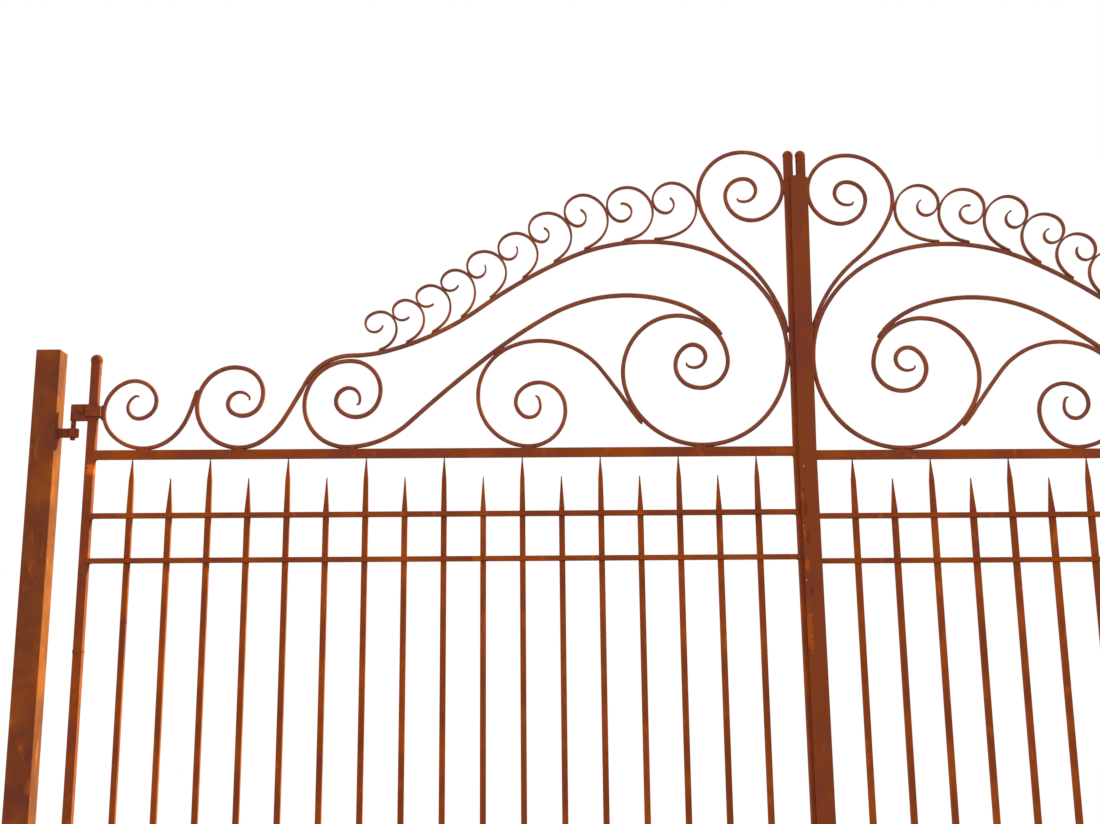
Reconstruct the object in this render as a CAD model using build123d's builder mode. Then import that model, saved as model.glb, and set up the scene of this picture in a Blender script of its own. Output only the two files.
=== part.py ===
from build123d import *
import os
from math import atan, ceil, cos, degrees, radians, sin

# Double-leaf wrought iron driveway gate: two square-bar leaves with spear-headed
# bars below and a rising crest of forged scrolls above, hung between two iron posts.
# Millimetres. X runs along the gate, Y points away from the viewer, into the drive,
# and Z is up. The origin is the centre of the left post's foot.

# Leaf frame
leaf_gap = 8.0
stile_size = 25.0
rail_size = 25.0
bar_size = 16.0
bar_pitch = 110.0
bar_count = 17
end_bay = 119.0
top_rail_height = 1900.0
bottom_rail_height = 80.0
stile_foot_height = 45.0
hanging_stile_rise = 241.0
meeting_stile_rise = 872.0
ball_diameter = 28.0
ball_sink = 4.0

# Punched rails, through which the bars pass
punched_rail_depth = 32.0
punched_rail_thickness = 13.0
upper_bar_rail_drop = 171.5
lower_bar_rail_drop = 296.0
middle_bar_rail_drop = 1120.0
bar_clearance = 0.15

# Spear heads, and the tenons that hold the bars in the bottom rail
long_shoulder_size = 12.5
long_point_length = 60.0
short_point_drop = 67.0
point_size = 2.5
point_clearance = 0.3
tenon_size = 10.0
tenon_clearance = 0.15

# Cover strip on the right leaf's meeting stile
strip_width = 50.0
strip_thickness = 8.0
strip_overlap = 14.0
strip_stand_off = 5.0
strip_rise = 820.0

# Hinges: a forged strap with a pin that hangs down into an eye on the post
pin_offset = 55.0
pin_diameter = 14.0
pin_length = 56.0
pin_clearance = 0.4
knuckle_diameter = 20.0
hinge_block_height = 45.0
strap_height = 26.0
strap_thickness = 6.0
collar_clearance = 0.15
top_hinge_rise = 122.0
bottom_hinge_height = 300.0
eye_diameter = 34.0
eye_height = 24.0
top_eye_drop = 24.0
seat_clearance = 0.3
shank_size = 20.0
shank_depth = 45.0
shank_clearance = 0.15

# Posts
post_size = 70.0
post_height = 2200.0
post_reach = 40.0

# With age the right leaf has dropped on its hinges, and above their top rails both
# leaves lean to the right, by so much for each millimetre of height
right_leaf_drop = 12.0
left_crest_lean = 0.0146
right_crest_lean = 0.019

# Scrolls: thickness seen from the front, depth from front to back. The tips are hammered
# thinner, each over its taper's length.
scroll_thickness = 12.0
heavy_thickness = 13.0
scroll_depth = 18.0
great_scroll_depth = 20.0
curl_tip = 7.0
curl_taper = 110.0
tail_tip = 5.0
tail_taper = 150.0
arch_tail_taper = 200.0
crest_thickness = 6.0
crest_depth = 14.0
crest_foot = 5.0
crest_foot_taper = 20.0
crest_tip = 4.0
crest_taper = 80.0
touch = 0.2
strap_reach = 12.0
turn_step = 45.0

# Places worked out from the values above
pin_x = post_size / 2 + post_reach
hanging_x = pin_x + pin_offset
stile_spacing = 2 * end_bay + (bar_count - 1) * bar_pitch
meeting_x = hanging_x + stile_spacing
middle_x = meeting_x + (stile_size + leaf_gap) / 2
rail_top = top_rail_height + rail_size / 2
rail_underside = top_rail_height - rail_size / 2
bar_places = [hanging_x + end_bay + n * bar_pitch for n in range(bar_count)]
rail_span = stile_spacing - stile_size
bar_foot = bottom_rail_height + rail_size / 2
upper_bar_rail_top = top_rail_height - upper_bar_rail_drop + punched_rail_thickness / 2
middle_plane = Plane.YZ.offset(middle_x)
meeting_face = meeting_x - stile_size / 2

os.makedirs("parts", exist_ok=True)


def save(name, part):
    """Write one finished piece under its node's name."""
    part.label = name
    export_step(part, f"parts/{name}.step")


def save_right(name, part, drop):
    """Write the twin of a left-hand piece, mirrored across the middle of the gate."""
    with BuildPart() as twin:
        with Locations((0, 0, -drop)):
            add(mirror(part, about=middle_plane, mode=Mode.PRIVATE))
    save(f"right_{name}", twin.part)


def save_pair(name, part):
    """Write a piece of the left leaf or its hinges, and its twin on the right."""
    save(f"left_{name}", part)
    save_right(name, part, right_leaf_drop)


# Stiles: square bars with a forged ball on top, upright as far as the top rail and
# leaning above it
def stile(x, rise, lean=0.0):
    top = top_rail_height + rise
    top_x = x + lean * (top - rail_top)
    with BuildPart() as bar:
        with BuildSketch(Plane.XY.offset(stile_foot_height)):
            with Locations((x, 0)):
                Rectangle(stile_size, stile_size)
        extrude(amount=rail_top - stile_foot_height)
        with BuildSketch(Plane.XY.offset(rail_top)):
            with Locations((x, 0)):
                Rectangle(stile_size, stile_size)
        with BuildSketch(Plane.XY.offset(top)):
            with Locations((top_x, 0)):
                Rectangle(stile_size, stile_size)
        loft(ruled=True)
        with Locations((top_x, 0, top + ball_diameter / 2 - ball_sink)):
            Sphere(ball_diameter / 2)
    return bar.part


save_pair("hanging_stile", stile(hanging_x, hanging_stile_rise))
save("left_meeting_stile", stile(meeting_x, meeting_stile_rise, left_crest_lean))

# The right meeting stile is longer by the leaf's drop, so that both balls stand level
right_stile = stile(meeting_x, meeting_stile_rise + right_leaf_drop, -right_crest_lean)
save_right("meeting_stile", right_stile, right_leaf_drop)

# Top rail
with BuildPart() as top_rail:
    with Locations(((hanging_x + meeting_x) / 2, 0, top_rail_height)):
        Box(rail_span, rail_size, rail_size)
save_pair("top_rail", top_rail.part)


# Rails punched with a square hole for each bar: three flat bars, laid with their edge to
# the viewer, which the bars pass through, and the bottom rail, which takes their tenons
def punched_rail(height, depth, thickness, hole):
    with BuildPart() as rail:
        with BuildSketch(Plane.XY.offset(height - thickness / 2)):
            with Locations(((hanging_x + meeting_x) / 2, 0)):
                Rectangle(rail_span, depth)
            with Locations([(x, 0) for x in bar_places]):
                Rectangle(hole, hole, mode=Mode.SUBTRACT)
        extrude(amount=thickness)
    return rail.part


bar_hole = bar_size + 2 * bar_clearance
for name, drop in (
    ("upper_bar_rail", upper_bar_rail_drop),
    ("lower_bar_rail", lower_bar_rail_drop),
    ("middle_bar_rail", middle_bar_rail_drop),
):
    height = top_rail_height - drop
    save_pair(name, punched_rail(height, punched_rail_depth, punched_rail_thickness, bar_hole))

tenon_hole = tenon_size + 2 * tenon_clearance
save_pair("bottom_rail", punched_rail(bottom_rail_height, rail_size, rail_size, tenon_hole))


# Bars: each stands on the bottom rail, with a square tenon through it, passes through
# the punched rails and ends in a spear head
def taper_angle(wide, narrow, length):
    return degrees(atan((wide - narrow) / 2 / length))


def spear_bars(places, shoulder_height, shoulder_size, tip_height):
    with BuildPart() as bars:
        with BuildSketch(Plane.XY.offset(bar_foot)):
            with Locations([(x, 0) for x in places]):
                Rectangle(bar_size, bar_size)
        extrude(amount=upper_bar_rail_top - bar_foot)
        lower_height, lower_size = upper_bar_rail_top, bar_size
        for upper_height, upper_size in ((shoulder_height, shoulder_size), (tip_height, point_size)):
            if upper_height <= lower_height:
                continue
            with BuildSketch(Plane.XY.offset(lower_height)):
                with Locations([(x, 0) for x in places]):
                    Rectangle(lower_size, lower_size)
            length = upper_height - lower_height
            extrude(amount=length, taper=taper_angle(lower_size, upper_size, length))
            lower_height, lower_size = upper_height, upper_size
        with BuildSketch(Plane.XY.offset(bar_foot)):
            with Locations([(x, 0) for x in places]):
                Rectangle(tenon_size, tenon_size)
        extrude(amount=-rail_size)
    return bars.part


long_tip = rail_underside - point_clearance
long_shoulder = long_tip - long_point_length
short_tip = top_rail_height - short_point_drop
save_pair("long_spear_bars", spear_bars(bar_places[0::2], long_shoulder, long_shoulder_size, long_tip))
save_pair("short_spear_bars", spear_bars(bar_places[1::2], upper_bar_rail_top, bar_size, short_tip))


# Cover strip: a flat bar with a packing bar behind it, riveted to the right leaf's
# meeting stile, so that it laps over the left one
def cover_strip():
    stile_front = -stile_size / 2
    strip_left = middle_x - leaf_gap / 2 - strip_overlap
    packing_left = middle_x + leaf_gap / 2
    packing_width = strip_left + strip_width - packing_left
    foot = stile_foot_height - right_leaf_drop
    bend = rail_top - right_leaf_drop
    top = top_rail_height + strip_rise - right_leaf_drop
    sections = []
    for height, shift in ((foot, 0), (bend, 0), (top, right_crest_lean * (top - bend))):
        with BuildSketch(Plane.XY.offset(height)) as section:
            with Locations((packing_left + shift, stile_front)):
                Rectangle(min(packing_width, stile_size), strip_stand_off, align=(Align.MIN, Align.MAX))
            with Locations((strip_left + shift, stile_front - strip_stand_off)):
                Rectangle(strip_width, strip_thickness, align=(Align.MIN, Align.MAX))
        sections.append(section.sketch)
    with BuildPart() as strip:
        loft(sections, ruled=True)
    return strip.part


save("cover_strip", cover_strip())


# Posts, each with two square sockets for the shanks of the eye brackets
top_hinge_height = top_rail_height + top_hinge_rise
top_eye_height = top_hinge_height - hinge_block_height / 2 - top_eye_drop
bottom_eye_height = bottom_hinge_height - hinge_block_height / 2 - seat_clearance
eye_heights = (bottom_eye_height, top_eye_height)


def post(drop):
    socket = shank_size + 2 * shank_clearance
    with BuildPart() as column:
        with BuildSketch():
            Rectangle(post_size, post_size)
        extrude(amount=post_height)
        for height in eye_heights:
            with BuildSketch(Plane.XY.offset(height - drop + shank_clearance)):
                with Locations((post_size / 2, 0)):
                    Rectangle(shank_depth, socket, align=(Align.MAX, Align.CENTER))
            extrude(amount=-eye_height - 2 * shank_clearance, mode=Mode.SUBTRACT)
    return column.part


save("left_post", post(0))
save_right("post", post(right_leaf_drop), 0)


# Eye brackets: a forged eye on a shank driven into the post
def eye_bracket(height):
    shank_end = post_size / 2 - shank_depth + shank_clearance
    with BuildPart() as bracket:
        with BuildSketch(Plane.XY.offset(height)):
            with Locations((shank_end, 0)):
                Rectangle(pin_x - shank_end, shank_size, align=(Align.MIN, Align.CENTER))
            with Locations((pin_x, 0)):
                Circle(eye_diameter / 2)
                Circle(pin_diameter / 2 + pin_clearance, mode=Mode.SUBTRACT)
        extrude(amount=-eye_height)
    return bracket.part


save_pair("bottom_eye_bracket", eye_bracket(bottom_eye_height))
save_pair("top_eye_bracket", eye_bracket(top_eye_height))


# Scrolls. Each is set out as a smith does, by its bearing edge: the outer line that
# lies on the rail, on the stile or on the neighbouring scroll. From its seat the line
# runs both ways in tangent arcs, each a radius and a turn in degrees, positive to the
# left. The bar's thickness lies inside that line and tapers towards both tips.
def walk(start, heading, arcs, scale):
    """Follow tangent arcs, with their radii scaled: return places as x, z, heading and
    distance travelled. Each arc has an even number of steps, none over turn_step."""
    x, z = start
    travelled = 0
    places = [(x, z, heading, travelled)]
    for radius, turn in arcs:
        steps = 2 * ceil(abs(turn) / turn_step / 2)
        step = turn / steps
        for _ in range(steps):
            chord = 2 * radius * scale * sin(radians(abs(step) / 2))
            bearing = radians(heading + step / 2)
            x += chord * cos(bearing)
            z += chord * sin(bearing)
            heading += step
            travelled += radius * scale * radians(abs(step))
            places.append((x, z, heading, travelled))
    return places


def lay_scroll(start, heading, curl, tail):
    """Lay the curl one way from the seat and the tail the other, as one line from
    the curl's tip to the tail's tip."""
    inward = walk(start, heading + 180, curl, setting_out)
    back = [(x, z, way + 180, -travelled) for x, z, way, travelled in reversed(inward[1:])]
    return back + walk(start, heading, tail, setting_out)


def forge(lean, places, thickness, depth, tips, tapers, bearing_side=1):
    """Make the bar that lies inside a line of places, leaning as its leaf does. tips
    and tapers give the thickness at each end and the length over which it tapers.
    bearing_side is 1 where the bearing edge is on the right of the way along it, and
    -1 on the left."""
    first, last = places[0][3], places[-1][3]
    edge, inner_edge = [], []
    for x, z, way, travelled in places:
        from_first = min(1, (travelled - first) / tapers[0])
        from_last = min(1, (last - travelled) / tapers[1])
        width = min(
            tips[0] + (thickness - tips[0]) * from_first,
            tips[1] + (thickness - tips[1]) * from_last,
        )
        edge.append((x, z))
        inner_edge.append((
            x - bearing_side * width * sin(radians(way)),
            z + bearing_side * width * cos(radians(way)),
        ))
    lines = [[(x + lean * (z - rail_top), z) for x, z in line] for line in (edge, inner_edge)]
    with BuildSketch(Plane.XZ) as outline:
        with BuildLine():
            for line in lines:
                for n in range(0, len(line) - 2, 2):
                    ThreePointArc(line[n], line[n + 1], line[n + 2])
            for end in (0, -1):
                Line(lines[0][end], lines[1][end])
        make_face()
    with BuildPart() as bar:
        extrude(outline.sketch, amount=depth / 2, both=True)
    return bar.part


def save_scroll(name, *design):
    """Forge a scroll for each leaf: both lean to the right once the twin is mirrored."""
    save(f"left_{name}", forge(left_crest_lean, *design))
    save_right(name, forge(-right_crest_lean, *design), right_leaf_drop)


def rail_seat(distance):
    """Where a scroll touches the top rail, measured back from the meeting stile."""
    return meeting_face - distance * setting_out, rail_top + touch


# The scrolls are set out to fill the rail, from the meeting stile to the hinge strap's
# end: the hinge-side scroll's seat and the reach of its curl past the seat give the
# length of the drawing, and so its scale
hinge_side_seat = 1837.0
hinge_side_curl = [(135, -49.2), (98, -105.4), (73, -94.1), (55, -103.9), (38, -52.5), (39, -129.3)]
curl_reach = -min(x for x, _, _, _ in walk((0, 0), 180, hinge_side_curl, 1))
setting_out = (rail_span - strap_reach) / (hinge_side_seat + curl_reach)

# Hinge-side scroll, whose back bears on the hinge strap's end
hinge_side_places = lay_scroll(
    rail_seat(hinge_side_seat), 0, hinge_side_curl, tail=[(122, 34.2), (139, 31.9), (288, 15.8)],
)
hinge_side_design = (
    hinge_side_places, scroll_thickness, scroll_depth, (curl_tip, curl_tip), (curl_taper, curl_taper),
)
save_scroll("hinge_side_scroll", *hinge_side_design)

# Second scroll, whose full-width tail meets the end of the great scroll's back
second_places = lay_scroll(
    rail_seat(1565.8), 0,
    curl=[
        (136, -61.6), (122, -66.9), (105, -72.6), (83, -92.1), (60, -99.6), (38, -89.8),
        (38, -132.3),
    ],
    tail=[(118, 32.6), (198, 26.9), (1900, 3.6)],
)
save_scroll(
    "second_scroll", second_places, heavy_thickness, scroll_depth,
    (curl_tip, heavy_thickness), (curl_taper, curl_taper),
)

# Arch scroll, whose long tail rises over the facing scroll to the great scroll's ring
arch_places = lay_scroll(
    rail_seat(1263.5), 0,
    curl=[(131, -131.6), (130, -55.6), (94, -108.6), (72, -112.3), (44, -100.6), (38, -163.6)],
    tail=[(264, 42.9), (3888, -4.3), (1413, -8.3), (450, -49.3), (275, -28.7)],
)
save_scroll(
    "arch_scroll", arch_places, heavy_thickness, scroll_depth,
    (curl_tip, tail_tip), (curl_taper, arch_tail_taper),
)

# Facing scroll, turned the other way under the arch, with its tail down the ring
facing_places = lay_scroll(
    rail_seat(745.5), 180,
    curl=[(107, 102.2), (84, 51.2), (78, 73.2), (54, 101.1), (36, 120.9), (60, 42.4)],
    tail=[(154, -76.8), (158, -83.0), (228, -73.2), (1960, -5.1)],
)
save_scroll(
    "facing_scroll", facing_places, scroll_thickness, scroll_depth,
    (curl_tip, tail_tip), (curl_taper, tail_taper), -1,
)

# Great scroll: one long bar, a ring beside the meeting stile and a back that runs
# down over the arch to the second scroll
great_seat = rail_seat(254.0)
great_back = [
    (245, 43.6), (272, 40.3), (310, 38.2), (365, 35.1), (457, 14.6), (568, 32.6), (1413, 11.7),
    (796, -21.4), (385, -15.0), (149, 63.5),
]
great_places = lay_scroll(
    great_seat, 0,
    curl=[
        (236, -69.7), (180, -65.1), (157, -83.6), (140, -47.4), (86, -119.7), (71, -122.3),
        (44, -81.2), (38, -187.8),
    ],
    tail=great_back,
)
save_scroll(
    "great_scroll", great_places, heavy_thickness, great_scroll_depth,
    (curl_tip, heavy_thickness), (curl_taper, curl_taper),
)

# Crown scroll, seated on the meeting stile above the ring
crown_seat = 771.1
crown_places = lay_scroll(
    (meeting_face - touch, rail_top + crown_seat * setting_out), 90,
    curl=[(109, -69.0), (82, -106.8), (60, -98.9), (40, -92.1), (41, -122.1)],
    tail=[(115, 70.8), (137, 65.2), (142, 68.5), (358, 26.0), (434, -34.0)],
)
save_scroll(
    "crown_scroll", crown_places, scroll_thickness, scroll_depth,
    (curl_tip, tail_tip), (curl_taper, tail_taper),
)

# Crest scrolls: small scrolls that climb the great scroll's back, each with its foot
# on the back, at a distance from the great scroll's seat, and its shoulder against
# the next one
crest = [
    (1855, [(64, 59.1), (61, 57.3), (47, 42.6), (53, 47.8), (32, 66.8), (28, 150.5)]),
    (1774, [(81, 37.1), (64, 70.0), (62, 43.8), (40, 59.3), (32, 68.2), (29, 113.2)]),
    (1694, [(101, 28.1), (73, 61.7), (67, 49.5), (47, 62.5), (32, 82.0), (32, 95.4)]),
    (1600, [(85, 39.2), (85, 50.4), (60, 54.5), (43, 79.9), (28, 66.3), (29, 104.3)]),
    (1500, [(130, 24.0), (70, 73.3), (67, 63.6), (46, 88.5), (36, 50.7), (27, 144.6)]),
    (1389, [(96, 32.3), (70, 96.6), (60, 58.0), (45, 74.5), (33, 59.5), (28, 129.3)]),
    (1286, [(100, 28.7), (78, 85.0), (69, 70.3), (47, 94.1), (41, 50.0), (24, 168.2)]),
    (1190, [(117, 28.3), (84, 111.4), (60, 70.2), (50, 109.4), (27, 99.2), (30, 80.3)]),
    (1071, [(129, 17.6), (83, 121.4), (73, 58.6), (56, 124.2), (34, 97.2), (28, 129.1)]),
    (983, [(151, 35.4), (86, 70.6), (81, 52.9), (62, 91.1), (44, 96.6), (28, 161.9)]),
]


def place_on_back(distance):
    """The place and way at a drawn distance along the great scroll's bearing edge."""
    arcs = []
    for radius, turn in great_back:
        length = radius * radians(abs(turn))
        if distance <= length:
            arcs.append((radius, turn * distance / length))
            break
        arcs.append((radius, turn))
        distance -= length
    return walk(great_seat, 0, arcs, setting_out)[-1]


def crest_scrolls(lean):
    tips, tapers = (crest_foot, crest_tip), (crest_foot_taper, crest_taper)
    with BuildPart() as scrolls:
        for distance, arcs in crest:
            x, z, way, _ = place_on_back(distance)
            foot = (x + touch * sin(radians(way)), z - touch * cos(radians(way)))
            places = walk(foot, way - 180, arcs, setting_out)
            add(forge(lean, places, crest_thickness, crest_depth, tips, tapers))
    return scrolls.part


save("left_crest_scrolls", crest_scrolls(left_crest_lean))
save_right("crest_scrolls", crest_scrolls(-right_crest_lean), right_leaf_drop)


# Hinge straps: a forged collar round the hanging stile, closed against the first
# scroll, with a block and a knuckle that carry the pin
def hinge_strap(height, lean):
    strap_start = hanging_x - stile_size / 2 - strap_thickness
    strap_end = forge(lean, *hinge_side_design).bounding_box().min.X - touch
    collar_depth = stile_size + 2 * (strap_thickness + collar_clearance)
    opening = stile_size + 2 * collar_clearance
    block_foot = height - hinge_block_height / 2
    with BuildPart() as strap:
        with BuildSketch(Plane.XY.offset(height - strap_height / 2)):
            with Locations((strap_start, 0)):
                Rectangle(strap_end - strap_start, collar_depth, align=(Align.MIN, Align.CENTER))
            with Locations((hanging_x, 0)):
                Rectangle(opening, opening, mode=Mode.SUBTRACT)
        extrude(amount=strap_height)
        with BuildSketch(Plane.XY.offset(block_foot)):
            with Locations((pin_x, 0)):
                Rectangle(pin_offset - opening / 2, stile_size, align=(Align.MIN, Align.CENTER))
                Circle(knuckle_diameter / 2)
        extrude(amount=hinge_block_height)
        with BuildSketch(Plane.XY.offset(block_foot)):
            with Locations((pin_x, 0)):
                Circle(pin_diameter / 2)
        extrude(amount=-pin_length)
    return strap.part


for name, height in (("bottom", bottom_hinge_height), ("top", top_hinge_height)):
    save(f"left_{name}_hinge_strap", hinge_strap(height, left_crest_lean))
    save_right(f"{name}_hinge_strap", hinge_strap(height, -right_crest_lean), right_leaf_drop)
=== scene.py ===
import math
import random

import bmesh
import bpy
from mathutils import Matrix, Vector
from mathutils.bvhtree import BVHTree


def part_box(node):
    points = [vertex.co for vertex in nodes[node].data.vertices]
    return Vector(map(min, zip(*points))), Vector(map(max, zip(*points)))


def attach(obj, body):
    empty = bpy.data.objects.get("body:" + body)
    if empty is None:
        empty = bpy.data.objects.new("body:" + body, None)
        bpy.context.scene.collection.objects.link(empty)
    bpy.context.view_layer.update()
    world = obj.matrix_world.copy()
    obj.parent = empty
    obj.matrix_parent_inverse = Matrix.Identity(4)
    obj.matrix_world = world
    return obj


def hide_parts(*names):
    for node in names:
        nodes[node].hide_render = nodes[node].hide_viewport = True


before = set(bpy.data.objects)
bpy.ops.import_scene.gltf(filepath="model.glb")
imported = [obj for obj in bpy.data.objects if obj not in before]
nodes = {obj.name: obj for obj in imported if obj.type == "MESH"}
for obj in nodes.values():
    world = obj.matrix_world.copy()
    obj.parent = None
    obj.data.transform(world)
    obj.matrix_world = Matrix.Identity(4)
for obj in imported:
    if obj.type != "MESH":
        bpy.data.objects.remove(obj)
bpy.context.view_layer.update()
bpy.ops.object.select_all(action="DESELECT")

# Posts. Each is one square wrought iron bar, set upright at the drive's edge and left
# to rust for decades. It is hot rolled, so its arrises are soft.
POST_ARRIS = 0.003
ARRIS_STEPS = 2
MERGE = 0.00001
SHARP = 40
RUST_GLOSS = 0.12
# How far apart the marks of the rust are, in millimetres.
DRIFT = 150
RUST_RUNS = 26
HAMMER_BLOWS = 26
FLAKES = 9
PITS = 2.5
# How ragged a stain is, and where its edge starts and ends.
STAIN_RAGGED = 3.0
STAIN_EDGE = (2.6, 2.2)


def linear(colour):
    """An sRGB hex colour as a linear RGBA value."""
    channels = [int(colour[i:i + 2], 16) / 255 for i in (1, 3, 5)]
    return [c / 12.92 if c <= 0.04045 else ((c + 0.055) / 1.055) ** 2.4 for c in channels] + [1.0]


def per_metre(millimetres):
    """The scale of a pattern whose marks are this far apart."""
    return 1000 / millimetres


def add_node(material, kind, settings=None, **sockets):
    """Add a shader node. A socket is given a value, or the output that feeds it."""
    tree = material.node_tree
    made = tree.nodes.new(kind)
    for name, value in (settings or {}).items():
        setattr(made, name, value)
    for name, value in sockets.items():
        socket = made.inputs[int(name[1:]) if name[1:].isdigit() else name.replace("_", " ")]
        if isinstance(value, bpy.types.NodeSocket):
            tree.links.new(value, socket)
        else:
            socket.default_value = value
    return made


def rusted_iron(name, maroon, brown, orange, flake, bloom, run=(1, 1, 1), stains_and_shade=()):
    """Wrought iron that has lost its paint: an even coat of old rust that drifts from
    maroon through brown to orange over a hand's width, dark flakes of mill scale that
    still hold, and bright new rust in small runs. It is dull, with pits a millimetre or
    two across. Each stain, or spot of painted shade, is a centre and a reach across and up
    in metres, and a colour."""
    material = bpy.data.materials.new(name)
    material.use_nodes = True
    shader = material.node_tree.nodes["Principled BSDF"]
    shader.inputs["Specular IOR Level"].default_value = RUST_GLOSS
    place = add_node(material, "ShaderNodeTexCoord").outputs["Object"]
    drift = add_node(
        material, "ShaderNodeTexNoise",
        Vector=place, Scale=per_metre(DRIFT), Detail=5.0, Roughness=0.6,
    )
    coat = add_node(material, "ShaderNodeValToRGB", Fac=drift.outputs["Fac"])
    coat.color_ramp.elements[0].position = 0.36
    coat.color_ramp.elements[0].color = linear(maroon)
    coat.color_ramp.elements[1].position = 0.64
    coat.color_ramp.elements[1].color = linear(orange)
    coat.color_ramp.elements.new(0.5).color = linear(brown)
    grain = add_node(
        material, "ShaderNodeTexNoise",
        Vector=place, Scale=per_metre(FLAKES), Detail=6.0, Roughness=0.68,
    )
    flakes = add_node(
        material, "ShaderNodeMapRange", {"interpolation_type": "SMOOTHSTEP"},
        Value=grain.outputs["Fac"], From_Min=0.40, From_Max=0.30, To_Max=0.55,
    )
    flaked = add_node(
        material, "ShaderNodeMix", {"data_type": "RGBA"},
        _0=flakes.outputs["Result"], _6=coat.outputs["Color"], _7=linear(flake),
    )
    course = add_node(material, "ShaderNodeMapping", Vector=place, Scale=run)
    wet = add_node(
        material, "ShaderNodeTexNoise",
        Vector=course.outputs["Vector"], Scale=per_metre(RUST_RUNS), Detail=4.0, Roughness=0.6,
    )
    blooms = add_node(
        material, "ShaderNodeMapRange", {"interpolation_type": "SMOOTHSTEP"},
        Value=wet.outputs["Fac"], From_Min=0.58, From_Max=0.72, To_Max=0.75,
    )
    colour = add_node(
        material, "ShaderNodeMix", {"data_type": "RGBA"},
        _0=blooms.outputs["Result"], _6=flaked.outputs[2], _7=linear(bloom),
    )
    for (across, up), (wide, high), tint in stains_and_shade:
        spot = add_node(
            material, "ShaderNodeMapping",
            Vector=place, Location=(-across / wide, 0, -up / high), Scale=(1 / wide, 0, 1 / high),
        )
        ragged = add_node(
            material, "ShaderNodeVectorMath", {"operation": "LENGTH"}, _0=spot.outputs["Vector"],
        )
        edge = add_node(
            material, "ShaderNodeMath", {"operation": "MULTIPLY_ADD"},
            _0=grain.outputs["Fac"], _1=STAIN_RAGGED, _2=ragged.outputs["Value"],
        )
        mask = add_node(
            material, "ShaderNodeMapRange", {"interpolation_type": "SMOOTHSTEP"},
            Value=edge.outputs["Value"], From_Min=STAIN_EDGE[0], From_Max=STAIN_EDGE[1],
        )
        colour = add_node(
            material, "ShaderNodeMix", {"data_type": "RGBA"},
            _0=mask.outputs["Result"], _6=colour.outputs[2], _7=linear(tint),
        )
    pits = add_node(
        material, "ShaderNodeTexNoise",
        Vector=place, Scale=per_metre(PITS), Detail=5.0, Roughness=0.7,
    )
    hammer = add_node(
        material, "ShaderNodeTexVoronoi", {"feature": "SMOOTH_F1"},
        Vector=place, Scale=per_metre(HAMMER_BLOWS), Smoothness=1.0,
    )
    blows = add_node(
        material, "ShaderNodeBump",
        Height=hammer.outputs["Distance"], Strength=0.3, Distance=0.002,
    )
    scabs = add_node(
        material, "ShaderNodeBump",
        Height=grain.outputs["Fac"], Normal=blows.outputs["Normal"], Strength=0.45, Distance=0.0016,
    )
    skin = add_node(
        material, "ShaderNodeBump",
        Height=pits.outputs["Fac"], Normal=scabs.outputs["Normal"], Strength=0.4, Distance=0.0005,
    )
    dull = add_node(
        material, "ShaderNodeMapRange",
        Value=pits.outputs["Fac"], From_Min=0.3, From_Max=0.7, To_Min=0.7, To_Max=0.95,
    )
    links = material.node_tree.links
    links.new(colour.outputs[2], shader.inputs["Base Color"])
    links.new(dull.outputs["Result"], shader.inputs["Roughness"])
    links.new(skin.outputs["Normal"], shader.inputs["Normal"])
    return material


def dress(endings, finish, arris):
    """Give CAD nodes a finish and round their sharp arrises."""
    for name, piece in nodes.items():
        if name.endswith(endings):
            piece.data.materials.clear()
            piece.data.materials.append(finish)
            merged = piece.modifiers.new("merged", "WELD")
            merged.merge_threshold = MERGE
            rounded = piece.modifiers.new("rounded", "BEVEL")
            rounded.width = arris
            rounded.segments = ARRIS_STEPS
            rounded.limit_method = "ANGLE"
            rounded.angle_limit = math.radians(SHARP)
            rounded.harden_normals = True


# Hot rolled wrought iron, rusted right over: dull brown, with long runs down the bar.
post_finish = rusted_iron(
    "rusted_post_iron", "#6d3423", "#7f3d1c", "#934917", "#43231a", "#af5510", run=(1, 1, 0.3),
)
dress("_post", post_finish, POST_ARRIS)

# Hinges. A forged strap is closed round the hanging stile, with a block and a pin that
# hangs down into a forged eye, whose shank is driven into the post.
HINGE_ARRIS = 0.0015
# Forged wrought iron, rusted right over: reddish brown, with dark flakes of fire scale.
hinge_finish = rusted_iron(
    "rusted_hinge_iron", "#7c3924", "#8c3e1f", "#994413", "#452114", "#a95013",
)
dress(("_eye_bracket", "_hinge_strap"), hinge_finish, HINGE_ARRIS)

# Hinge rivets. A round rivet through each hinge block keeps the pin. It was closed hot
# with a hammer, and its low, lumpy head shows on both faces.
STILE_SIZE = 0.025
RIVET_RADIUS = 0.0130
RIVET_HEIGHT = 0.0095
RIVET_LUMPS = 0.08
RIVET_DENTS = 0.7
RIVET_PLACES = ((0.0965, 2.0278), (0.0965, 0.3058))


def roughen(piece, lumps, pattern):
    """Push a piece's surface in and out, as a hammer or a weld leaves it."""
    clouds = bpy.data.textures.new("lumps", "CLOUDS")
    clouds.noise_scale = pattern
    push = piece.modifiers.new("lumps", "DISPLACE")
    push.texture = clouds
    push.strength = lumps
    push.mid_level = 0.5
    bpy.ops.object.modifier_apply(modifier="lumps")


def join_as(name, pieces, finish, body):
    """Join copies into one finished piece that rides on a body."""
    bpy.ops.object.select_all(action="DESELECT")
    for piece in pieces:
        piece.select_set(True)
    bpy.context.view_layer.objects.active = pieces[0]
    if len(pieces) > 1:
        bpy.ops.object.join()
    whole = bpy.context.object
    whole.name = name
    whole.data.name = name
    whole.data.materials.clear()
    whole.data.materials.append(finish)
    bpy.ops.object.shade_smooth_by_angle(angle=math.radians(SHARP))
    bpy.ops.object.select_all(action="DESELECT")
    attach(whole, body)
    return whole


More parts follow.
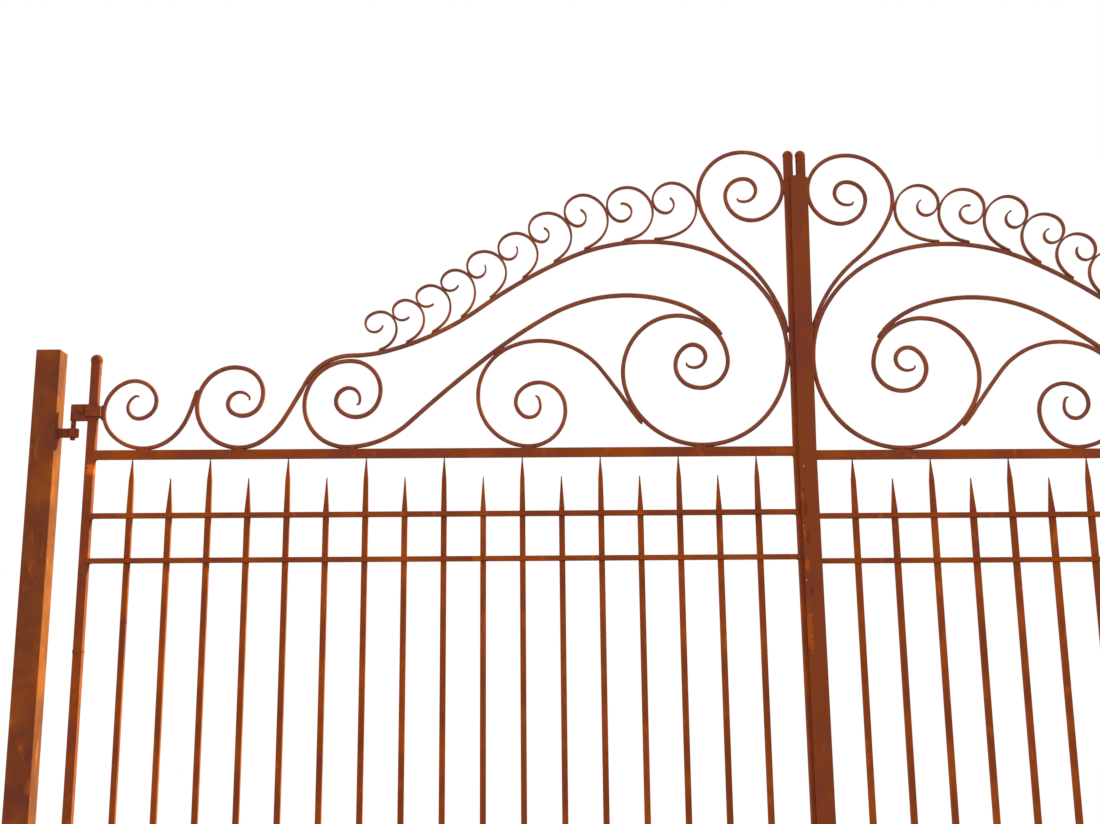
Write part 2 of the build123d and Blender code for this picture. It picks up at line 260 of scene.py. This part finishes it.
def copy_to(shape, place, along=Vector((1, 0, 0)), size=(1, 1, 1)):
    """A copy of a shape with its own mesh, turned to lie along a line in the gate's plane."""
    mesh = shape.copy()
    turn = Matrix.Rotation(-math.atan2(along.z, along.x), 4, "Y")
    mesh.transform(Matrix.Translation(place) @ turn @ Matrix.Diagonal((*size, 1)))
    made = bpy.data.objects.new("copy", mesh)
    bpy.context.collection.objects.link(made)
    return made


bpy.ops.mesh.primitive_uv_sphere_add(segments=24, ring_count=12, radius=1, location=(0, 0, 0))
rivet = bpy.context.object
roughen(rivet, RIVET_LUMPS, RIVET_DENTS)
rivet_shape = rivet.data.copy()
bpy.ops.object.delete()
# The right leaf mirrors the left one about the gate's middle, and hangs a little lower.
gate_middle = (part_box("left_post")[0][0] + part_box("right_post")[1][0]) / 2
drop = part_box("left_top_rail")[0][2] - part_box("right_top_rail")[0][2]
for side in ("left", "right"):
    heads = []
    for across, up in RIVET_PLACES:
        place_x = across if side == "left" else 2 * gate_middle - across
        place_z = up if side == "left" else up - drop
        for face in (-1, 1):
            place = Vector((place_x, face * STILE_SIZE / 2, place_z))
            size = (RIVET_RADIUS, RIVET_HEIGHT, RIVET_RADIUS)
            heads.append(copy_to(rivet_shape, place, size=size))
    join_as(f"{side}_hinge_rivets", heads, hinge_finish, f"{side}_leaf")

# Strap wraps. Each strap was closed hot round the stile, so its band is fuller than the
# bar it was made from, with round edges and the dents of the tongs.
WRAP_X = (0.1100, 0.1502)
WRAP_RISE = (-0.0134, 0.0195)
WRAP_DEEP = 0.0398
WRAP_ROUND = 0.0028
WRAP_LUMPS = 0.0016
WRAP_DENTS = 0.010
WRAP_CUTS = 4
BLOCK_TO_BAND = 0.0225
EDGE_STEPS = 3


def stock(middle, size):
    """Add a block of bar at its place, with a size across, deep and up."""
    bpy.ops.mesh.primitive_cube_add(size=1, location=middle, scale=size)
    bpy.ops.object.transform_apply(location=True, rotation=True, scale=True)
    return bpy.context.object


def soften(arris, steps, cuts=0):
    """Round the edges of the active block, and cut its faces finer for the hammer marks."""
    bpy.ops.object.mode_set(mode="EDIT")
    bpy.ops.mesh.select_all(action="SELECT")
    bpy.ops.mesh.bevel(offset=arris, segments=steps)
    if cuts:
        bpy.ops.mesh.subdivide(number_cuts=cuts)
    bpy.ops.object.mode_set(mode="OBJECT")


for side in ("left", "right"):
    wraps = []
    for strap in ("top_hinge_strap", "bottom_hinge_strap"):
        band_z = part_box(f"{side}_{strap}")[1][2] - BLOCK_TO_BAND + sum(WRAP_RISE) / 2
        centre_x = sum(WRAP_X) / 2
        if side == "right":
            centre_x = 2 * gate_middle - centre_x
        size = (WRAP_X[1] - WRAP_X[0], WRAP_DEEP, WRAP_RISE[1] - WRAP_RISE[0])
        wrap = stock((centre_x, 0, band_z), size)
        soften(WRAP_ROUND, EDGE_STEPS, WRAP_CUTS)
        roughen(wrap, WRAP_LUMPS, WRAP_DENTS)
        wraps.append(wrap)
    join_as(f"{side}_strap_wraps", wraps, hinge_finish, f"{side}_leaf")

# Stiles and rails. The leaf's frame is 25 mm square wrought iron bar, rolled, cut to length
# and welded at its corners. The left hanging stile has a bright patch of new rust below the
# rail, and each ball has a small dark spot of painted shade on its front, standing for a
# forging dimple that is not modelled.
BAR_ARRIS = 0.0012
# The colour of the painted shade spot on each ball, where a forging dimple would be in shade.
PAINTED_DIMPLE_SHADE = "#4e281b"
# Rolled wrought iron bar, rusted right over: brown that drifts to orange, and faint runs.
frame_finish = rusted_iron(
    "rusted_frame_bar", "#7b3723", "#873c1b", "#98440f", "#542813", "#ac4e0c", run=(1, 1, 0.5),
    stains_and_shade=(
        ((0.1338, 1.8580), (0.011, 0.017), "#d6621b"),
        ((2.084, 1.900), (0.034, 0.009), "#9c4812"),
        ((2.207, 1.888), (0.060, 0.012), "#944413"),
        # The last three are painted shade: dark spots on the balls standing for forging dimples,
        # which are not modelled.
        ((0.1300, 2.1755), (0.004, 0.004), PAINTED_DIMPLE_SHADE),
        ((2.1431, 2.7850), (0.004, 0.004), PAINTED_DIMPLE_SHADE),
        ((2.1862, 2.7850), (0.003, 0.004), PAINTED_DIMPLE_SHADE),
    ),
)
dress(("_stile", "top_rail", "bottom_rail"), frame_finish, BAR_ARRIS)

# Knobs. The top end of each stile is upset and hammered to a ball, a little wider than the
# square bar that it sits on. The hammer leaves it slightly lumpy.
KNOB_PROUD = 0.0003
KNOB_LUMPS = 0.0008
KNOB_DENTS = 0.009
BALL_SIZE = 0.028
BALL_GRIP = 0.005
KNOBS = {"hanging_stile": (0.0172, 0.026), "meeting_stile": (0.0154, 0.0014)}
for side in ("left", "right"):
    for stile, (radius, rise) in KNOBS.items():
        name = f"{side}_{stile}"
        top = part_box(name)[1][2]
        places = [vertex.co for vertex in nodes[name].data.vertices]
        across = [place.x for place in places if place.z > top - BALL_SIZE / 2]
        middle_x = (min(across) + max(across)) / 2
        centre = top + rise - radius
        bpy.ops.mesh.primitive_uv_sphere_add(
            segments=32, ring_count=16, radius=radius, location=(middle_x, 0, centre),
        )
        bpy.ops.object.transform_apply(location=True, rotation=True, scale=True)
        ball = bpy.context.object
        roughen(ball, KNOB_LUMPS, KNOB_DENTS)
        low = top - BALL_SIZE - BALL_GRIP
        high = centre - BALL_GRIP
        wide = STILE_SIZE + 2 * KNOB_PROUD
        neck = stock((middle_x, 0, (low + high) / 2), (wide, wide, high - low))
        soften(BAR_ARRIS, EDGE_STEPS)
        join_as(f"{name}_knob", [ball, neck], frame_finish, f"{side}_leaf")

# Punched rails and spear bars. The rails are flat bar, punched hot with square holes. The
# 16 mm square bars pass up through them and are drawn out to spear points.
SPEAR_ARRIS = 0.0008
# Rolled wrought iron bar where rain runs down: the most orange of all, in long runs.
bar_finish = rusted_iron(
    "rusted_square_bar", "#7f371a", "#8c3e13", "#9f480e", "#5b2b0f", "#b4520a", run=(1, 1, 0.35),
)
dress(("_bar_rail", "_spear_bars"), bar_finish, SPEAR_ARRIS)

# Rail welds. Each rail ends against a stile and is fixed by a run of weld right round it,
# which stands a millimetre or two proud.
COLLAR_LENGTH = 0.007
COLLAR_PROUD = 0.0014
COLLAR_LUMPS = 0.0012
COLLAR_DENTS = 0.005
COLLAR_CUTS = 3
RAILS = ("top_rail", "upper_bar_rail", "lower_bar_rail", "middle_bar_rail", "bottom_rail")
# Old weld metal, rusted like the iron beside it: a dull maroon brown, so that beads show by
# their shape and hardly by colour.
weld_finish = rusted_iron(
    "rusted_weld_metal", "#7a3c29", "#864227", "#94491d", "#592b21", "#a7521b",
)
for side in ("left", "right"):
    collars = []
    for rail in RAILS:
        low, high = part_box(f"{side}_{rail}")
        middle_z = (low[2] + high[2]) / 2
        deep = high[1] - low[1] + 2 * COLLAR_PROUD
        tall = high[2] - low[2] + 2 * COLLAR_PROUD
        for end in (low[0], high[0]):
            collar = stock((end, 0, middle_z), (COLLAR_LENGTH, deep, tall))
            soften(COLLAR_PROUD, EDGE_STEPS, COLLAR_CUTS)
            roughen(collar, COLLAR_LUMPS, COLLAR_DENTS)
            collars.append(collar)
    join_as(f"{side}_rail_welds", collars, weld_finish, f"{side}_leaf")

# Scrolls. Each is one wrought iron bar, drawn thinner towards its tips and bent hot on the
# horn, with its free tips turned over more tightly. An end that is welded on keeps the bar's
# size nearly to its tip. The hammer leaves the bar roundish and uneven.
SCROLLS = (
    "hinge_side_scroll", "second_scroll", "arch_scroll",
    "facing_scroll", "great_scroll", "crown_scroll",
)
CREST_ARRIS = 0.0006
# Forged wrought iron: rust over fire scale, greyer and more maroon than the rolled bars.
scroll_finish = rusted_iron(
    "rusted_forged_scroll", "#774035", "#854533", "#944e2b", "#582c24", "#a65823",
)
dress("_crest_scrolls", scroll_finish, CREST_ARRIS)
# The bar's section: its size beside the solid's, its depth beside its height, and how square.
SCROLL_FILL = 0.96
SCROLL_DEPTH = 1.12
SQUARENESS = 1.3
SECTION_STEPS = 4
CURVE_STEPS = 3
# Its ends: how long they taper and to what share, a free tip's hook, and a welded tail.
POINT_LENGTH = 0.013
POINT_SIZE = 0.7
HOOK_LENGTH = 0.011
HOOK_TURN = math.radians(75)
HOOK_STEPS = 4
TAIL_REACH = 0.009
TAIL_END = 0.65
HAMMER_WAVES = 0.0009
HAMMER_REACH = 0.018
# How the solids are read: the turn that makes a corner, how squarely a face has to look to
# the front, and how far under the surface a ray starts.
CORNER = math.radians(50)
FACING = 0.9
SKIN = 0.0001
solids = {}
tails = {}


def islands(name):
    """The separate solids of a node, each as its vertices' places and its faces. All are put
    in order of their place, because a set has none, and each run has to give the same."""
    shape = bmesh.new()
    shape.from_mesh(nodes[name].data)
    bmesh.ops.remove_doubles(shape, verts=shape.verts, dist=MERGE)
    left = set(shape.verts)
    found = []
    while left:
        edge = [left.pop()]
        group = set(edge)
        while edge:
            for link in edge.pop().link_edges:
                for vertex in link.verts:
                    if vertex in left:
                        left.remove(vertex)
                        group.add(vertex)
                        edge.append(vertex)
        ordered = sorted(group, key=lambda vertex: vertex.co[:])
        order = {vertex: number for number, vertex in enumerate(ordered)}
        faces = {face for vertex in group for face in vertex.link_faces}
        places = [vertex.co.copy() for vertex in ordered]
        found.append((places, sorted([order[vertex] for vertex in face.verts] for face in faces)))
    shape.free()
    return sorted(found, key=lambda solid: solid[0][0][:])


def outline(solid):
    """The edge of a bar's front face, as points in order round it."""
    shape = bmesh.new()
    corners = [shape.verts.new(place) for place in solid[0]]
    for face in solid[1]:
        shape.faces.new([corners[number] for number in face])
    shape.normal_update()
    beside = {}
    for edge in shape.edges:
        if sum(face.normal.y < -FACING for face in edge.link_faces) == 1:
            for vertex in edge.verts:
                beside.setdefault(vertex, []).append(edge.other_vert(vertex))
    walk = [next(iter(beside))]
    walk.append(beside[walk[0]][0])
    while walk[-1] != walk[0]:
        walk.append(next(vertex for vertex in beside[walk[-1]] if vertex != walk[-2]))
    places = [Vector((vertex.co.x, 0, vertex.co.z)) for vertex in walk[:-1]]
    shape.free()
    return places


def centre_line(solid):
    """The middle of a bar from one tip to the other: places, each with half the thickness."""
    places = outline(solid)
    count = len(places)
    area = sum(places[n - 1].x * places[n].z - places[n].x * places[n - 1].z for n in range(count))
    inward = math.copysign(1, area)
    corners = [
        n for n in range(count)
        if (places[n] - places[n - 1]).angle(places[(n + 1) % count] - places[n]) > CORNER
    ]
    stretches = [
        ((corners[n] - corners[n - 1]) % count, corners[n - 1]) for n in range(len(corners))
    ]
    length, first = max(stretches)
    side = [places[(first + step) % count] for step in range(-1, length + 2)]
    tree = BVHTree.FromPolygons(*solid)
    line = [((side[0] + side[1]) / 2, (side[0] - side[1]).length / 2)]
    for before, place, after in zip(side[1:], side[2:], side[3:-1]):
        tangent = (after - before).normalized()
        across = Vector((-tangent.z, 0, tangent.x)) * inward
        start = place + across * SKIN
        far = tree.ray_cast(start, across)[0]
        line.append(((place + far) / 2, (far - place).length / 2))
    line.append(((side[-2] + side[-1]) / 2, (side[-2] - side[-1]).length / 2))
    return line


def turn_over(line):
    """Curl the last of a centre line more tightly, as a tip is turned over on the horn."""
    end, thin = line[-1]
    while (line[-1][0] - end).length < HOOK_LENGTH:
        line.pop()
    place, thick = line[-1]
    older, newer = line[-2][0] - line[-3][0], place - line[-2][0]
    heading = math.atan2(newer.z, newer.x)
    bend = math.remainder(heading - math.atan2(older.z, older.x), 2 * math.pi)
    heading += bend / 2
    step = math.copysign(HOOK_TURN / HOOK_STEPS, bend)
    for number in range(1, HOOK_STEPS + 1):
        along = Vector((math.cos(heading + step / 2), 0, math.sin(heading + step / 2)))
        place = place + along * HOOK_LENGTH / HOOK_STEPS
        heading += step
        line.append((place, thick + (thin - thick) * number / HOOK_STEPS))
    return line


bpy.ops.curve.primitive_bezier_circle_add(radius=1, location=(0, 0, 0))
section = bpy.context.object
section.data.resolution_u = SECTION_STEPS
for point in section.data.splines[0].bezier_points:
    point.handle_left_type = "FREE"
    point.handle_right_type = "FREE"
    point.handle_left = point.co + (point.handle_left - point.co) * SQUARENESS
    point.handle_right = point.co + (point.handle_right - point.co) * SQUARENESS
    for place in (point.co, point.handle_left, point.handle_right):
        place.y *= SCROLL_DEPTH
bpy.ops.object.select_all(action="DESELECT")
for side in ("left", "right"):
    bars = {f"{side}_{scroll}": islands(f"{side}_{scroll}") for scroll in SCROLLS}
    solids.update(bars)
    for node in bars:
        line = centre_line(bars[node][0])
        tails[node] = []
        for tip, inner in ((line[0][0], line[1][0]), (line[-1][0], line[-2][0])):
            others = [BVHTree.FromPolygons(*bars[other][0]) for other in bars if other != node]
            near = [tree.find_nearest(tip) for tree in others]
            touched, _, _, gap = min(near, key=lambda found: found[3])
            tails[node].append(((touched + tip) / 2, tip - inner) if gap < TAIL_REACH else None)
        if not tails[node][0]:
            line = turn_over(line[::-1])[::-1]
        if not tails[node][1]:
            line = turn_over(line)
        curve = bpy.data.curves.new(node, "CURVE")
        curve.dimensions = "2D"
        curve.resolution_u = CURVE_STEPS
        curve.bevel_mode = "OBJECT"
        curve.bevel_object = section
        curve.use_fill_caps = True
        spline = curve.splines.new("BEZIER")
        spline.bezier_points.add(len(line) - 1)
        thick = max(half for _, half in line)
        travelled = [0.0]
        for number in range(1, len(line)):
            travelled.append(travelled[-1] + (line[number][0] - line[number - 1][0]).length)
        for point, (place, half), run in zip(spline.bezier_points, line, travelled):
            point.co = (place.x, place.z, 0)
            point.handle_left_type = "AUTO"
            point.handle_right_type = "AUTO"
            first, last = tails[node]
            nearer = first if run < travelled[-1] / 2 else last
            point.radius = (thick if nearer else half) * SCROLL_FILL
            for tip, tail in ((run, first), (travelled[-1] - run, last)):
                end = TAIL_END if tail else POINT_SIZE
                if tip < POINT_LENGTH:
                    point.radius *= end + (1 - end) * tip / POINT_LENGTH
        drawn = bpy.data.objects.new(node, curve)
        bpy.context.collection.objects.link(drawn)
        drawn.rotation_euler = (math.radians(90), 0, 0)
        drawn.select_set(True)
        bpy.context.view_layer.objects.active = drawn
        bpy.ops.object.convert(target="MESH")
        bpy.ops.object.transform_apply(location=True, rotation=True, scale=True)
        bpy.ops.object.mode_set(mode="EDIT")
        bpy.ops.mesh.select_all(action="SELECT")
        bpy.ops.mesh.remove_doubles(threshold=MERGE)
        bpy.ops.mesh.normals_make_consistent(inside=False)
        bpy.ops.object.mode_set(mode="OBJECT")
        forged = bpy.context.object
        roughen(forged, HAMMER_WAVES, HAMMER_REACH)
        name = node.replace("_", "_forged_", 1)
        piece = join_as(name, [forged], scroll_finish, f"{side}_leaf")
        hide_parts(node)
bpy.data.objects.remove(section)

# Weld beads. The smith fixed the scrolls to the frame and to each other wherever they
# touch, with a short run of weld that has sunk back into the rust. Three beads are modelled,
# as lumpy lenses, and copied to their places.
BEAD_LUMPS = 0.22
BEAD_PATTERNS = (0.5, 0.65, 0.8)
CARRIERS = ("top_rail", "meeting_stile", "top_hinge_strap")
TOUCH = 0.0008
APART = 0.025
HEAVY_BEAD = (0.021, 0.0086, 0.0054)
TAIL_BEAD = (0.019, 0.0078, 0.0062)
LIGHT_BEAD = (0.008, 0.0078, 0.002)
BEAD_SPREAD = (0.85, 1.15)
choice = random.Random(5)
bead_shapes = []
for pattern in BEAD_PATTERNS:
    bpy.ops.mesh.primitive_uv_sphere_add(
        segments=20, ring_count=10, radius=1, location=(0, 0, 0),
    )
    roughen(bpy.context.object, BEAD_LUMPS, pattern)
    bead_shapes.append(bpy.context.object.data.copy())
    bpy.ops.object.delete()


def contacts(first, second):
    """Where one solid touches another, stretch by stretch: its middle and the way along it."""
    tree = BVHTree.FromPolygons(*second)
    groups = []
    for place in first[0]:
        met, normal, _, gap = tree.find_nearest(place)
        if gap > TOUCH:
            continue
        middle = (place + met) / 2
        for group in groups:
            first_met = group[0][0]
            if math.hypot(middle.x - first_met.x, middle.z - first_met.z) < APART:
                group.append((middle, normal))
                break
        else:
            groups.append([(middle, normal)])
    found = []
    for group in groups:
        middle = sum((near for near, _ in group), Vector()) / len(group)
        across = sum((normal for _, normal in group), Vector())
        if math.hypot(across.x, across.z) > 0:
            found.append((Vector((middle.x, 0, middle.z)), Vector((across.z, 0, -across.x))))
    return found


for name in nodes:
    if name.endswith(CARRIERS + ("crest_scrolls",)):
        solids[name] = islands(name)
for side in ("left", "right"):
    beads = []
    pieces = [solids[f"{side}_{name}"][0] for name in CARRIERS + SCROLLS]
    for number in range(len(CARRIERS), len(pieces)):
        for other in pieces[:number]:
            for place, along in contacts(pieces[number], other):
                size = [part * choice.uniform(*BEAD_SPREAD) for part in HEAVY_BEAD]
                beads.append(copy_to(choice.choice(bead_shapes), place, along, size))
    for scroll in SCROLLS:
        for tail in tails[f"{side}_{scroll}"]:
            if tail:
                beads.append(copy_to(choice.choice(bead_shapes), *tail, TAIL_BEAD))
    join_as(f"{side}_scroll_welds", beads, weld_finish, f"{side}_leaf")
    beads = []
    crest = solids[f"{side}_crest_scrolls"]
    carriers = [solids[f"{side}_great_scroll"][0], solids[f"{side}_crown_scroll"][0]]
    for number, scroll in enumerate(crest):
        for other in crest[number + 1:number + 2] + carriers:
            for place, along in contacts(scroll, other):
                size = [part * choice.uniform(*BEAD_SPREAD) for part in LIGHT_BEAD]
                beads.append(copy_to(choice.choice(bead_shapes), place, along, size))
    join_as(f"{side}_crest_welds", beads, weld_finish, f"{side}_leaf")

# Forging marks. The left hanging stile is forge-welded from two lengths, with a lip all
# round at the lap, and the first bar has a swelling where it was once mended.
LIP_PLACE = (0.130, 1.3584)
LIP_HEIGHT = 0.008
LIP_PROUD = 0.0011
LIP_DENTS = 0.006
LIP_CUTS = 3
SWELLING_PLACE = (0.249, 1.4377)
SWELLING_SIZE = (0.013, 0.0098, 0.0098)
lip_size = STILE_SIZE + 2 * LIP_PROUD
lip = stock((LIP_PLACE[0], 0, LIP_PLACE[1]), (lip_size, lip_size, LIP_HEIGHT))
soften(LIP_PROUD, EDGE_STEPS, LIP_CUTS)
roughen(lip, LIP_PROUD, LIP_DENTS)
swelling_place = Vector((SWELLING_PLACE[0], 0, SWELLING_PLACE[1]))
swelling = copy_to(bead_shapes[0], swelling_place, Vector((0, 0, 1)), SWELLING_SIZE)
join_as("left_forging_marks", [lip, swelling], frame_finish, "left_leaf")

# Cover strip. A flat wrought iron bar on a packing bar, riveted to the right leaf's meeting
# stile to lap over the left one. Its top end is cut aslant, and water has stained its face.
SLANT = (0.0025, 0.0120)
SLANT_INSET = 0.006
SLANT_GRIP = 0.003
SLANT_PROUD = 0.00015
SLANT_ARRIS = 0.0006
STRIP_THICKNESS = 0.008
# Rolled flat bar: an even brown with upright runs, orange stains and dark ones.
strip_finish = rusted_iron(
    "rusted_flat_bar", "#7a3828", "#833c1d", "#843d17", "#542814", "#8f4512", run=(1, 1, 0.25),
    stains_and_shade=(
        ((2.1325, 1.4040), (0.010, 0.062), "#a64c13"),
        ((2.1347, 1.5820), (0.006, 0.018), "#a64c13"),
        ((2.1234, 1.4949), (0.003, 0.005), "#6c2d17"),
        ((2.1340, 1.7850), (0.004, 0.007), "#71311a"),
        ((2.1290, 1.7750), (0.003, 0.012), "#a64c1b"),
        ((2.1375, 1.7330), (0.006, 0.024), "#71311a"),
        ((2.1395, 1.6560), (0.006, 0.018), "#71311a"),
        ((2.1318, 1.6640), (0.004, 0.014), "#a34a15"),
        ((2.1215, 1.5720), (0.003, 0.030), "#6f2d17"),
        ((2.1440, 1.5080), (0.004, 0.016), "#6f2d17"),
        ((2.1285, 1.6870), (0.002, 0.003), "#be7853"),
        ((2.1300, 1.5380), (0.002, 0.004), "#be7853"),
        ((2.1375, 1.8536), (0.002, 0.003), "#c98055"),
        ((2.1249, 1.8211), (0.002, 0.003), "#c98055"),
    ),
)
dress("cover_strip", strip_finish, BAR_ARRIS)
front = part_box("cover_strip")[0][1]
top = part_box("cover_strip")[1][2]
places = [vertex.co for vertex in nodes["cover_strip"].data.vertices]
across = [place.x for place in places if place.z > top - SLANT_GRIP]
low = Vector((min(across) - SLANT_PROUD, front - SLANT_PROUD, top - SLANT_GRIP))
high = Vector((max(across) - SLANT_INSET, front + STRIP_THICKNESS + SLANT_PROUD, top))
slanted = stock((low + high) / 2, high - low)
for vertex in slanted.data.vertices:
    if vertex.co.z > high.z - SLANT_GRIP / 2:
        vertex.co.z += SLANT[0] if vertex.co.x < (low.x + high.x) / 2 else SLANT[1]
soften(SLANT_ARRIS, ARRIS_STEPS)
join_as("cover_strip_end", [slanted], strip_finish, "right_leaf")

# Studio. A pale floor under an even white sky, with one soft sun high on the right and
# a little behind, which leaves the front in shade and lights the right-hand sides.
FLOOR_RADIUS = 9.0
bpy.ops.mesh.primitive_circle_add(
    vertices=96, radius=FLOOR_RADIUS, fill_type="NGON", location=(gate_middle, 0, 0),
)
floor = bpy.context.object
floor.name = "floor"
# A matt floor, tinted a little violet against the sun's yellow-green, and so nearly grey.
pale = bpy.data.materials.new("pale_floor")
pale.use_nodes = True
pale.node_tree.nodes["Principled BSDF"].inputs["Base Color"].default_value = linear("#938fa5")
pale.node_tree.nodes["Principled BSDF"].inputs["Roughness"].default_value = 0.9
floor.data.materials.append(pale)

SUN_FROM = Vector((0.80, 0.46, 0.60))
bpy.ops.object.light_add(type="SUN")
sun = bpy.context.object
sun.rotation_euler = SUN_FROM.to_track_quat("Z", "Y").to_euler()
sun.data.energy = 9.0
sun.data.angle = math.radians(3)
sun.data.color = (0.93, 1.05, 0.48)

world = bpy.data.worlds.new("studio")
world.use_nodes = True
world.node_tree.nodes["Background"].inputs["Color"].default_value = (1, 1, 1, 1)
world.node_tree.nodes["Background"].inputs["Strength"].default_value = 1.0
bpy.context.scene.world = world
bpy.context.scene.view_settings.view_transform = "Standard"

# Camera. It stands close in front of the left leaf and looks up, as for the photo, and the
# lens's axis lies a little off the picture's middle.
PHOTO_WIDTH = 1100
FOCAL_PIXELS = 1500
SENSOR = 36
AXIS_PIXEL = (527, 317)
PHOTO_MIDDLE = (550, 412)
CAMERA_PLACE = (1.3649, -4.2085, 1.261)
LOOK_UP = 13.8
LEAN = 0.35
bpy.ops.object.camera_add(location=CAMERA_PLACE)
camera = bpy.context.object
camera.rotation_euler = (math.radians(90 + LOOK_UP), 0, 0)
camera.rotation_euler.rotate_axis("Z", math.radians(-LEAN))
camera.data.sensor_width = SENSOR
camera.data.lens = SENSOR * FOCAL_PIXELS / PHOTO_WIDTH
camera.data.shift_x = (PHOTO_MIDDLE[0] - AXIS_PIXEL[0]) / PHOTO_WIDTH
camera.data.shift_y = (AXIS_PIXEL[1] - PHOTO_MIDDLE[1]) / PHOTO_WIDTH
bpy.context.scene.camera = camera
